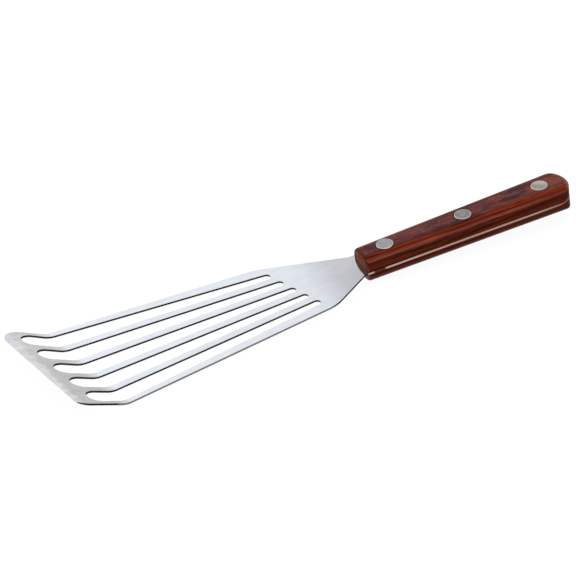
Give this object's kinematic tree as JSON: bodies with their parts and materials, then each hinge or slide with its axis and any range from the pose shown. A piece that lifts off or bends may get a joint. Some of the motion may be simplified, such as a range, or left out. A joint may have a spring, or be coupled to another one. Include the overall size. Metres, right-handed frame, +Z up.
{
  "type": "fish spatula",
  "caption": "Slotted fish spatula with a thin flared steel blade, slanted upturned tip, full tang and riveted wooden handle scales.",
  "frame": {"origin": "under the middle of the whole tool, on the table it rests on", "axes": "+X from the blade's tip to the butt of the handle, +Y to the longer side of the slanted tip, +Z up"},
  "size_m": [0.2756, 0.0746, 0.0189],
  "materials": {
    "blade_steel": "fine brushed stainless",
    "handle_wood": "satin polished reddish brown",
    "rivet_steel": "satin, flush ground"
  },
  "bodies": {
    "root": {"blade_and_tang": "blade_steel", "upper_scale": "handle_wood", "lower_scale": "handle_wood", "front_rivet_socket": "rivet_steel", "front_rivet_stud": "rivet_steel", "middle_rivet_socket": "rivet_steel", "middle_rivet_stud": "rivet_steel", "rear_rivet_socket": "rivet_steel", "rear_rivet_stud": "rivet_steel"}
  },
  "joints": []
}
